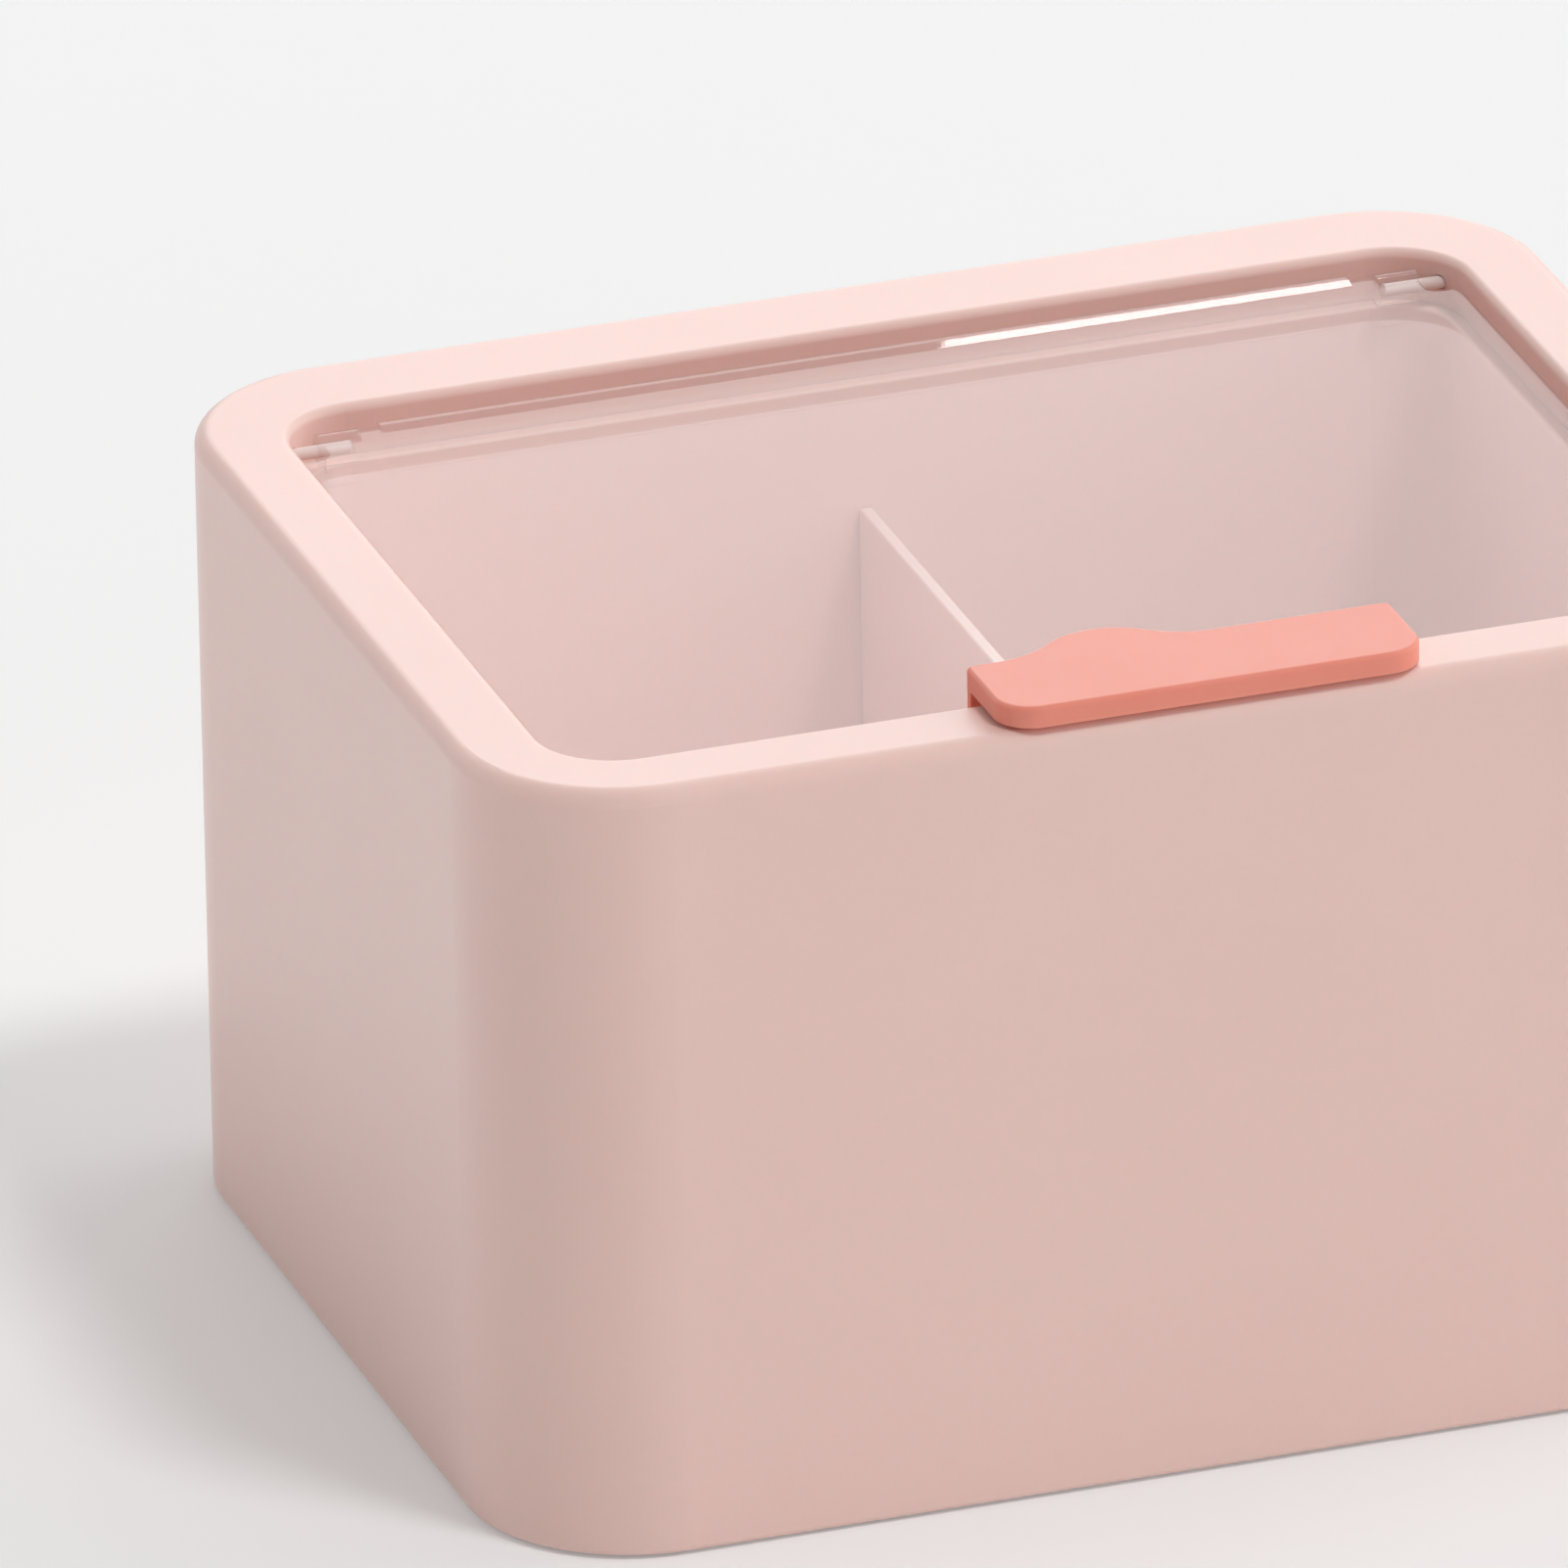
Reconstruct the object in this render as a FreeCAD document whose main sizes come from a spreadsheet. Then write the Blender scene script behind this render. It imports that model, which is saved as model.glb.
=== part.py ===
import FreeCAD, Part
import os

import Sketcher

# A box for lipsticks: a pink double wall with a wide soft rim, a clear lid hinged at the back of the
# rim's opening, a coral pull tab at the lid's front, and one lift-out divider.
# The origin is on the surface that the feet stand on, under the middle of the box.
# +X is to the right, +Y to the back and +Z up. Lengths are in millimetres, angles in degrees.

SIZES = [
    # outer shell
    ("box_width", 160.0),
    ("box_depth", 127.5),
    ("box_height", 93.2),
    ("corner_radius", 19.5),
    ("shell_wall", 2.4),
    ("rim_width", 10.0),
    ("rim_back_width", 13.2),
    ("rim_thickness", 2.6),
    ("rim_round", 1.9),
    ("rim_inner_round", 1.0),
    ("base_round", 0.8),
    ("opening_radius", 9.0),
    ("lip_wall", 2.0),
    ("floor_gap", 0.3),
    # base plate, its feet and screws
    ("plate_recess", 0.6),
    ("plate_thickness", 2.4),
    ("plate_gap", 0.3),
    ("fence_thickness", 1.4),
    ("fence_height", 3.0),
    ("fence_gap", 0.2),
    ("foot_radius", 6.0),
    ("foot_seat", 1.0),
    ("foot_gap", 0.15),
    ("foot_inset", 24.0),
    ("foot_round", 0.2),
    ("post_inset", 9.9),
    ("post_radius", 2.8),
    ("screw_radius", 1.2),
    ("screw_gap", 0.06),
    ("screw_length", 11.0),
    ("screw_head_radius", 2.2),
    ("screw_head_height", 1.3),
    ("screw_tip_gap", 1.0),
    ("screw_slot_width", 0.6),
    ("screw_slot_share", 0.6),
    ("hole_gap", 0.2),
    # inner tray and its divider
    ("ledge_width", 1.7),
    ("tray_wall", 2.0),
    ("tray_floor", 2.6),
    ("tray_edge_round", 0.4),
    ("tray_floor_round", 2.0),
    ("flange_width", 1.5),
    ("flange_thickness", 2.0),
    ("flange_length_x", 96.0),
    ("flange_length_y", 50.0),
    ("divider_thickness", 1.5),
    ("divider_height", 66.0),
    ("divider_gap", 0.35),
    ("divider_corner", 2.6),
    ("divider_round", 0.3),
    ("guide_thickness", 1.4),
    ("guide_depth", 3.0),
    ("guide_height", 35.0),
    ("guide_gap", 0.25),
    ("guide_root", 1.0),
    ("rail_height", 2.5),
    # lid
    ("lid_recess", 2.0),
    ("lid_thickness", 2.5),
    ("lid_gap", 0.5),
    ("lid_back_gap", 2.2),
    ("lid_edge_round", 0.7),
    ("lid_lower_round", 0.4),
    ("lid_notch_width", 3.6),
    ("lid_notch_reach", 4.6),
    ("lid_notch_round", 1.2),
    ("lid_rib_width", 2.3),
    ("lid_rib_height", 0.42),
    ("lid_rib_slope", 1.15),
    ("lid_rib_step", 0.04),
    ("lid_rib_round", 0.15),
    ("lid_rib_gap", 2.9),
    ("bumper_height", 1.6),
    ("bumper_length", 12.0),
    ("bumper_margin", 0.2),
    ("bumper_inset", 22.0),
    # hinge
    ("hinge_back", 4.2),
    ("hinge_below", 3.2),
    ("knuckle_radius", 1.9),
    ("knuckle_length", 4.8),
    ("knuckle_inset", 9.1),
    ("knuckle_end_wall", 0.6),
    ("pin_radius", 0.75),
    ("pin_gap", 0.04),
    ("pin_hole_gap", 0.12),
    ("pin_end_gap", 0.4),
    ("bush_radius", 1.5),
    ("bush_length", 4.0),
    ("bush_gap", 0.02),
    ("boss_radius", 2.9),
    ("boss_offset", 0.6),
    ("boss_length", 4.6),
    # pull tab and its screws
    ("tab_width", 49.8),
    ("tab_shift", 3.2),
    ("tab_depth", 13.8),
    ("tab_front_gap", 0.1),
    ("tab_plate", 2.5),
    ("tab_lift", 0.5),
    ("tab_front_radius", 4.5),
    ("tab_back_radius", 0.8),
    ("tab_edge_round", 0.5),
    ("tab_leg", 1.8),
    ("tab_foot_depth", 4.6),
    ("tab_foot_height", 1.2),
    ("tab_foot_margin", 4.0),
    ("lobe_radius", 8.9),
    ("lobe_rise", 4.8),
    ("lobe_place", 16.2),
    ("lobe_blend", 11.0),
    ("tab_boss_radius", 2.1),
    ("tab_boss_gap", 0.3),
    ("tab_boss_cap", 0.5),
    ("tab_boss_place", 15.0),
    ("tab_screw_radius", 0.8),
    ("tab_screw_head_radius", 1.5),
    ("tab_screw_head_height", 1.1),
    ("tab_screw_slot_width", 0.4),
    ("tab_screw_tip_gap", 0.3),
]

# Heights and places that several pieces share, as expressions on the sheet.
RIM_UNDERSIDE = "(sizes.box_height - sizes.rim_thickness)"
LID_TOP = "(sizes.box_height - sizes.lid_recess)"
LID_UNDERSIDE = f"({LID_TOP} - sizes.lid_thickness)"
TRAY_TOP = f"({LID_UNDERSIDE} - sizes.bumper_height)"
PLATE_UNDERSIDE = "(sizes.floor_gap + sizes.plate_recess)"
PLATE_TOP = f"({PLATE_UNDERSIDE} + sizes.plate_thickness)"
FLOOR_TOP = f"({PLATE_TOP} + sizes.tray_floor)"

# The rim is wider at the back, so the opening's middle is in front of the box's middle.
OPENING_X = "(sizes.box_width - 2 * sizes.rim_width)"
OPENING_Y = "(sizes.box_depth - sizes.rim_width - sizes.rim_back_width)"
OPENING_MIDDLE = "((sizes.rim_width - sizes.rim_back_width) / 2)"
OPENING_FRONT = "(sizes.rim_width - sizes.box_depth / 2)"
OPENING_BACK = "(sizes.box_depth / 2 - sizes.rim_back_width)"
TRAY_IN_X = f"({OPENING_X} - 2 * sizes.ledge_width)"
TRAY_IN_Y = f"({OPENING_Y} - 2 * sizes.ledge_width)"
TRAY_OUT_X = f"({TRAY_IN_X} + 2 * sizes.tray_wall)"
TRAY_OUT_Y = f"({TRAY_IN_Y} + 2 * sizes.tray_wall)"
TRAY_CORNER = "(sizes.opening_radius - sizes.ledge_width)"

POST_X = "(sizes.box_width / 2 - sizes.post_inset)"
POST_Y = "(sizes.box_depth / 2 - sizes.post_inset)"
FOOT_X = "(sizes.box_width / 2 - sizes.foot_inset)"
FOOT_Y = "(sizes.box_depth / 2 - sizes.foot_inset)"

HINGE_Y = f"({OPENING_BACK} - sizes.hinge_back)"
HINGE_Z = "(sizes.box_height - sizes.hinge_below)"
KNUCKLE_START = f"({OPENING_X} / 2 - sizes.knuckle_inset)"
PIN_START = f"({KNUCKLE_START} + sizes.knuckle_end_wall + sizes.pin_end_gap)"
BOSS_START = f"({OPENING_X} / 2 + sizes.boss_offset)"
BOSS_END = f"({BOSS_START} + sizes.boss_length)"

TAB_UNDERSIDE = "(sizes.box_height + sizes.tab_lift)"
TAB_FRONT = "(-sizes.box_depth / 2 + sizes.tab_front_gap)"
TAB_BACK = f"({TAB_FRONT} + sizes.tab_depth)"
TAB_BOSS_Y = f"({TAB_BACK} + sizes.tab_foot_depth / 2)"
TAB_BOSS_HEIGHT = f"({TAB_UNDERSIDE} - {LID_TOP} - sizes.tab_boss_gap)"
LOBE_X = "(sizes.tab_shift - sizes.tab_width / 2 + sizes.lobe_place)"
LOBE_Y = f"({TAB_BACK} + sizes.lobe_rise - sizes.lobe_radius)"

SIDES = (("left", -1), ("right", 1))
ENDS = (("front", -1), ("back", 1))
FOUR_CORNERS = [(sign_x, sign_y) for _, sign_x in SIDES for _, sign_y in ENDS]
NEAR = 1e-3

doc = FreeCAD.newDocument("lipstick_organizer")
sheet = doc.addObject("Spreadsheet::Sheet", "sizes")
for row, (alias, number) in enumerate(SIZES, start=1):
    sheet.set(f"A{row}", alias)
    sheet.set(f"B{row}", str(number))
    sheet.setAlias(f"B{row}", alias)
doc.recompute()


def value(expression):
    """Give the number that an expression on the sheet has now."""
    result = sheet.evalExpression(expression.replace("sizes.", ""))
    return float(getattr(result, "Value", result))


# Sketches


def new_sketch(body, name, plane, offset):
    sketch = body.newObject("Sketcher::SketchObject", name)
    support = next(item for item in body.Origin.OriginFeatures if item.Role == plane)
    sketch.AttachmentSupport = [(support, "")]
    sketch.MapMode = "FlatFace"
    for direction, expression in zip("xyz", offset):
        sketch.setExpression(f"AttachmentOffset.Base.{direction}", expression)
    return sketch


def name_size(sketch, constraint, name, expression):
    index = sketch.addConstraint(constraint)
    sketch.renameConstraint(index, name)
    sketch.setExpression(f"Constraints.{name}", expression)


def rectangle(body, name, size_x, size_y, offset):
    """Draw a rectangle centred on the offset."""
    sketch = new_sketch(body, name, "XY_Plane", offset)
    half_x = value(size_x) / 2
    half_y = value(size_y) / 2
    corners = [(-half_x, -half_y), (half_x, -half_y), (half_x, half_y), (-half_x, half_y)]
    points = [FreeCAD.Vector(x, y, 0) for x, y in corners]
    for index in range(4):
        sketch.addGeometry(Part.LineSegment(points[index], points[(index + 1) % 4]), False)
    for index in range(4):
        sketch.addConstraint(Sketcher.Constraint("Coincident", index, 2, (index + 1) % 4, 1))
    for index in (0, 2):
        sketch.addConstraint(Sketcher.Constraint("Horizontal", index))
    for index in (1, 3):
        sketch.addConstraint(Sketcher.Constraint("Vertical", index))
    sketch.addConstraint(Sketcher.Constraint("Symmetric", 0, 1, 2, 1, -1, 1))
    name_size(sketch, Sketcher.Constraint("DistanceX", 0, 1, 0, 2, 2 * half_x), "size_x", size_x)
    name_size(sketch, Sketcher.Constraint("DistanceY", 1, 1, 1, 2, 2 * half_y), "size_y", size_y)
    return sketch


def rounded_rectangle(body, name, size_x, size_y, radius, offset):
    """Draw a rectangle with four equal round corners, centred on the offset."""
    sketch = new_sketch(body, name, "XY_Plane", offset)
    half_x = value(size_x) / 2
    half_y = value(size_y) / 2
    corner = value(radius)
    flat_x = half_x - corner
    flat_y = half_y - corner
    lines = [
        ((-flat_x, -half_y), (flat_x, -half_y)),
        ((half_x, -flat_y), (half_x, flat_y)),
        ((flat_x, half_y), (-flat_x, half_y)),
        ((-half_x, flat_y), (-half_x, -flat_y)),
    ]
    centres = [(flat_x, -flat_y), (flat_x, flat_y), (-flat_x, flat_y), (-flat_x, -flat_y)]
    quarter = FreeCAD.Units.parseQuantity("90 deg").getValueAs("rad").Value
    for index, (line, centre) in enumerate(zip(lines, centres)):
        start, end = (FreeCAD.Vector(*point, 0) for point in line)
        sketch.addGeometry(Part.LineSegment(start, end), False)
        round_part = Part.Circle(FreeCAD.Vector(*centre, 0), FreeCAD.Vector(0, 0, 1), corner)
        sketch.addGeometry(Part.ArcOfCircle(round_part, (index - 1) * quarter, index * quarter), False)
    for index in range(8):
        sketch.addConstraint(Sketcher.Constraint("Tangent", index, 2, (index + 1) % 8, 1))
    for index in (0, 4):
        sketch.addConstraint(Sketcher.Constraint("Horizontal", index))
    for index in (2, 6):
        sketch.addConstraint(Sketcher.Constraint("Vertical", index))
    for index in (3, 5, 7):
        sketch.addConstraint(Sketcher.Constraint("Equal", 1, index))
    sketch.addConstraint(Sketcher.Constraint("Symmetric", 1, 3, 5, 3, -1, 1))
    name_size(sketch, Sketcher.Constraint("Radius", 1, corner), "radius", radius)
    name_size(sketch, Sketcher.Constraint("DistanceX", 6, 1, 2, 1, 2 * half_x), "size_x", size_x)
    name_size(sketch, Sketcher.Constraint("DistanceY", 0, 1, 4, 1, 2 * half_y), "size_y", size_y)
    return sketch


def circle(body, name, radius, offset, plane="XY_Plane"):
    """Draw a circle centred on the offset."""
    sketch = new_sketch(body, name, plane, offset)
    size = value(radius)
    sketch.addGeometry(Part.Circle(FreeCAD.Vector(), FreeCAD.Vector(0, 0, 1), size), False)
    sketch.addConstraint(Sketcher.Constraint("Coincident", 0, 3, -1, 1))
    name_size(sketch, Sketcher.Constraint("Radius", 0, size), "radius", radius)
    return sketch


def corner_circles(body, name, radius, place_x, place_y, height):
    """Draw one circle near each corner, at the same two distances from the middle."""
    sketch = new_sketch(body, name, "XY_Plane", ("0", "0", height))
    size = value(radius)
    origin = (-1, 1)
    for index, (sign_x, sign_y) in enumerate(FOUR_CORNERS):
        centre = FreeCAD.Vector(sign_x * value(place_x), sign_y * value(place_y), 0)
        sketch.addGeometry(Part.Circle(centre, FreeCAD.Vector(0, 0, 1), size), False)
        middle = (index, 3)
        for kind, sign, place in (("DistanceX", sign_x, place_x), ("DistanceY", sign_y, place_y)):
            start, end = (origin, middle) if sign > 0 else (middle, origin)
            rule = Sketcher.Constraint(kind, *start, *end, value(place))
            name_size(sketch, rule, f"{kind}_{index}", place)
        name_size(sketch, Sketcher.Constraint("Radius", index, size), f"radius_{index}", radius)
    return sketch


# Features


def pad(body, sketch, length, name, down=False):
    feature = body.newObject("PartDesign::Pad", name)
    feature.Profile = sketch
    feature.Reversed = down
    feature.setExpression("Length", length)
    sketch.Visibility = False
    doc.recompute()
    return feature


def pocket(body, sketch, length, name, up=False):
    """Cut the sketch downwards, or upwards, and check that it took something away."""
    before = body.Shape.Volume
    feature = body.newObject("PartDesign::Pocket", name)
    feature.Profile = sketch
    feature.Reversed = up
    feature.setExpression("Length", length)
    sketch.Visibility = False
    doc.recompute()
    if not body.Shape.Volume < before:
        raise RuntimeError(f"{body.Label}: {name} cuts nothing")
    return feature


def fillet(body, edges, radius, name):
    base = body.Tip
    feature = body.newObject("PartDesign::Fillet", name)
    feature.Base = (base, edges)
    feature.setExpression("Radius", radius)
    doc.recompute()
    return feature


def chamfer(body, edges, size, name, other_size=None):
    """Bevel the edges, by one size or by two different ones."""
    base = body.Tip
    feature = body.newObject("PartDesign::Chamfer", name)
    feature.Base = (base, edges)
    feature.setExpression("Size", size)
    if other_size:
        feature.ChamferType = "Two distances"
        feature.setExpression("Size2", other_size)
    doc.recompute()
    return feature


def edge_names(shape, wanted):
    return [f"Edge{number}" for number, edge in enumerate(shape.Edges, start=1) if wanted(edge)]


def cross_edges(body, y, z):
    """Find the edges that run along X at this place."""
    depth = value(y)
    level = value(z)

    def is_there(edge):
        middle = middle_of(edge)
        along_x = abs(direction_of(edge).x) > 1 - NEAR
        return along_x and abs(middle.y - depth) < NEAR and abs(middle.z - level) < NEAR

    return edge_names(body.Shape, is_there)


def middle_of(edge):
    return edge.valueAt((edge.FirstParameter + edge.LastParameter) / 2)


def direction_of(edge):
    return edge.tangentAt((edge.FirstParameter + edge.LastParameter) / 2)


def upright_edges(body, places):
    """Find the upright edges that stand at these places in plan."""
    def stands(edge):
        middle = middle_of(edge)
        upright = abs(direction_of(edge).z) > 1 - NEAR
        return upright and any(abs(middle.x - x) < NEAR and abs(middle.y - y) < NEAR for x, y in places)
    return edge_names(body.Shape, stands)


def level_face(body, height):
    """Find the largest level face at this height."""
    level = value(height)

    def is_level(face):
        bounds = face.BoundBox
        return abs(bounds.ZMin - level) < NEAR and abs(bounds.ZMax - level) < NEAR

    return max((face for face in body.Shape.Faces if is_level(face)), key=lambda face: face.Area)


def rim_edges(body, height, outer=True):
    """Find the edges round the level face at this height: its outline, or its opening."""
    face = level_face(body, height)
    outline = face.OuterWire
    wires = [wire for wire in face.Wires if wire.isSame(outline) == outer]
    rim = [edge for wire in wires for edge in wire.Edges]
    return edge_names(body.Shape, lambda edge: any(edge.isSame(other) for other in rim))


def new_body(label):
    body = doc.addObject("PartDesign::Body", label)
    body.Label = label
    return body


# Pieces


def make_outer_shell():
    body = new_body("outer_shell")
    outline = rounded_rectangle(body, "outline", "sizes.box_width", "sizes.box_depth", "sizes.corner_radius",
                                ("0", "0", "sizes.box_height"))
    pad(body, outline, "sizes.box_height - sizes.floor_gap", "block", down=True)
    fillet(body, rim_edges(body, "sizes.box_height"), "sizes.rim_round", "rim_edge")
    fillet(body, rim_edges(body, "sizes.floor_gap"), "sizes.base_round", "base_edge")

    # The space inside the wall, open at the bottom.
    space = rounded_rectangle(body, "space_outline", "sizes.box_width - 2 * sizes.shell_wall",
                              "sizes.box_depth - 2 * sizes.shell_wall",
                              "sizes.corner_radius - sizes.shell_wall", ("0", "0", RIM_UNDERSIDE))
    pocket(body, space, RIM_UNDERSIDE, "space")

    # The lip that hangs under the rim's inner edge, still solid across the opening.
    lip = rounded_rectangle(body, "lip_outline", f"{OPENING_X} + 2 * sizes.lip_wall",
                            f"{OPENING_Y} + 2 * sizes.lip_wall", "sizes.opening_radius + sizes.lip_wall",
                            ("0", OPENING_MIDDLE, RIM_UNDERSIDE))
    pad(body, lip, f"{RIM_UNDERSIDE} - {TRAY_TOP}", "lip", down=True)

    # Posts for the base screws, from the rim down to the base plate.
    posts = corner_circles(body, "post_circles", "sizes.post_radius", POST_X, POST_Y, RIM_UNDERSIDE)
    pad(body, posts, f"{RIM_UNDERSIDE} - {PLATE_TOP}", "posts", down=True)

    # Bosses outside the lip that hold the hinge bushes.
    for side, sign in SIDES:
        start = (HINGE_Y, HINGE_Z, f"{sign} * {BOSS_START}")
        boss = circle(body, f"boss_circle_{side}", "sizes.boss_radius", start, "YZ_Plane")
        pad(body, boss, "sizes.boss_length", f"boss_{side}", down=sign < 0)

    opening = rounded_rectangle(body, "opening_outline", OPENING_X, OPENING_Y, "sizes.opening_radius",
                                ("0", OPENING_MIDDLE, "sizes.box_height"))
    pocket(body, opening, f"sizes.box_height - {TRAY_TOP}", "opening")
    fillet(body, rim_edges(body, "sizes.box_height", outer=False), "sizes.rim_inner_round", "opening_edge")

    pilots = corner_circles(body, "pilot_circles", "sizes.screw_radius + sizes.screw_gap", POST_X, POST_Y,
                            PLATE_TOP)
    pocket(body, pilots, "sizes.screw_length + sizes.screw_tip_gap", "pilots", up=True)

    for side, sign in SIDES:
        end = (HINGE_Y, HINGE_Z, f"{sign} * {BOSS_END}")
        seat = circle(body, f"seat_circle_{side}", "sizes.bush_radius + sizes.bush_gap", end, "YZ_Plane")
        pocket(body, seat, "sizes.bush_length", f"bush_seat_{side}", up=sign < 0)
        hole = circle(body, f"pin_circle_{side}", "sizes.pin_radius + sizes.pin_hole_gap", end, "YZ_Plane")
        pocket(body, hole, f"{BOSS_END} - {KNUCKLE_START}", f"pin_hole_{side}", up=sign < 0)
    return body


def make_base_plate():
    body = new_body("base_plate")
    inset = "(sizes.shell_wall + sizes.plate_gap)"
    outline = rounded_rectangle(body, "outline", f"sizes.box_width - 2 * {inset}",
                                f"sizes.box_depth - 2 * {inset}", f"sizes.corner_radius - {inset}",
                                ("0", "0", PLATE_UNDERSIDE))
    pad(body, outline, "sizes.plate_thickness", "plate")

    # Fences that keep the tray in place, one along each side.
    reach = "sizes.fence_gap + sizes.fence_thickness / 2"
    for end, sign in ENDS:
        place = f"{OPENING_MIDDLE} + {sign} * ({TRAY_OUT_Y} / 2 + {reach})"
        fence = rectangle(body, f"fence_outline_{end}", "sizes.flange_length_x", "sizes.fence_thickness",
                          ("0", place, PLATE_TOP))
        pad(body, fence, "sizes.fence_height", f"fence_{end}")
    for side, sign in SIDES:
        place = f"{sign} * ({TRAY_OUT_X} / 2 + {reach})"
        fence = rectangle(body, f"fence_outline_{side}", "sizes.fence_thickness", "sizes.flange_length_y",
                          (place, OPENING_MIDDLE, PLATE_TOP))
        pad(body, fence, "sizes.fence_height", f"fence_{side}")

    seats = corner_circles(body, "seat_circles", "sizes.foot_radius + sizes.foot_gap", FOOT_X, FOOT_Y,
                           PLATE_UNDERSIDE)
    pocket(body, seats, "sizes.foot_seat", "foot_seats", up=True)
    sinks = corner_circles(body, "sink_circles", "sizes.screw_head_radius + sizes.hole_gap", POST_X, POST_Y,
                           PLATE_UNDERSIDE)
    pocket(body, sinks, "sizes.screw_head_height", "head_sinks", up=True)
    holes = corner_circles(body, "hole_circles", "sizes.screw_radius + sizes.hole_gap", POST_X, POST_Y,
                           PLATE_UNDERSIDE)
    pocket(body, holes, "sizes.plate_thickness", "screw_holes", up=True)
    return body


def make_inner_tray():
    body = new_body("inner_tray")
    outline = rounded_rectangle(body, "outline", TRAY_OUT_X, TRAY_OUT_Y, f"{TRAY_CORNER} + sizes.tray_wall",
                                ("0", OPENING_MIDDLE, PLATE_TOP))
    pad(body, outline, f"{TRAY_TOP} - {PLATE_TOP}", "block")

    # A flange along the middle of each side, which the shell's lip bears on.
    place = ("0", OPENING_MIDDLE, f"{TRAY_TOP} - sizes.flange_thickness")
    flange_x = rectangle(body, "flange_outline_x", f"{TRAY_OUT_X} + 2 * sizes.flange_width",
                         "sizes.flange_length_y", place)
    pad(body, flange_x, "sizes.flange_thickness", "flange_x")
    flange_y = rectangle(body, "flange_outline_y", "sizes.flange_length_x",
                         f"{TRAY_OUT_Y} + 2 * sizes.flange_width", place)
    pad(body, flange_y, "sizes.flange_thickness", "flange_y")

    inside = rounded_rectangle(body, "inside_outline", TRAY_IN_X, TRAY_IN_Y, TRAY_CORNER,
                               ("0", OPENING_MIDDLE, TRAY_TOP))
    pocket(body, inside, f"{TRAY_TOP} - {FLOOR_TOP}", "inside")
    fillet(body, rim_edges(body, FLOOR_TOP), "sizes.tray_floor_round", "floor_edge")
    fillet(body, rim_edges(body, TRAY_TOP, outer=False), "sizes.tray_edge_round", "top_edge")

    # Low guides for the divider: a pair on the front wall, on the back wall and along the floor.
    pitch = "((sizes.divider_thickness + sizes.guide_thickness) / 2 + sizes.guide_gap)"
    for side, sign_x in SIDES:
        place_x = f"{sign_x} * {pitch}"
        for end, sign_y in ENDS:
            reach = f"({TRAY_IN_Y} - sizes.guide_depth + sizes.guide_root) / 2"
            guide = rectangle(body, f"guide_outline_{end}_{side}", "sizes.guide_thickness",
                              "sizes.guide_depth + sizes.guide_root",
                              (place_x, f"{OPENING_MIDDLE} + {sign_y} * {reach}",
                               f"{FLOOR_TOP} - sizes.guide_root"))
            pad(body, guide, "sizes.guide_height + sizes.guide_root", f"guide_{end}_{side}")
        rail = rectangle(body, f"rail_outline_{side}", "sizes.guide_thickness",
                         f"{TRAY_IN_Y} + sizes.guide_root",
                         (place_x, OPENING_MIDDLE, f"{FLOOR_TOP} - sizes.guide_root"))
        pad(body, rail, "sizes.rail_height + sizes.guide_root", f"rail_{side}")
    return body


def make_divider():
    body = new_body("divider")
    outline = rectangle(body, "outline", "sizes.divider_thickness", f"{TRAY_IN_Y} - 2 * sizes.divider_gap",
                        ("0", OPENING_MIDDLE, FLOOR_TOP))
    pad(body, outline, "sizes.divider_height", "plate")

    # The lower corners clear the round between the tray's floor and its walls.
    half_y = f"({TRAY_IN_Y} / 2 - sizes.divider_gap)"
    lower = []
    for _, sign in ENDS:
        lower += cross_edges(body, f"{OPENING_MIDDLE} + {sign} * {half_y}", FLOOR_TOP)
    chamfer(body, lower, "sizes.divider_corner", "lower_corners")
    fillet(body, rim_edges(body, f"{FLOOR_TOP} + sizes.divider_height"), "sizes.divider_round", "top_edge")
    return body


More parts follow.
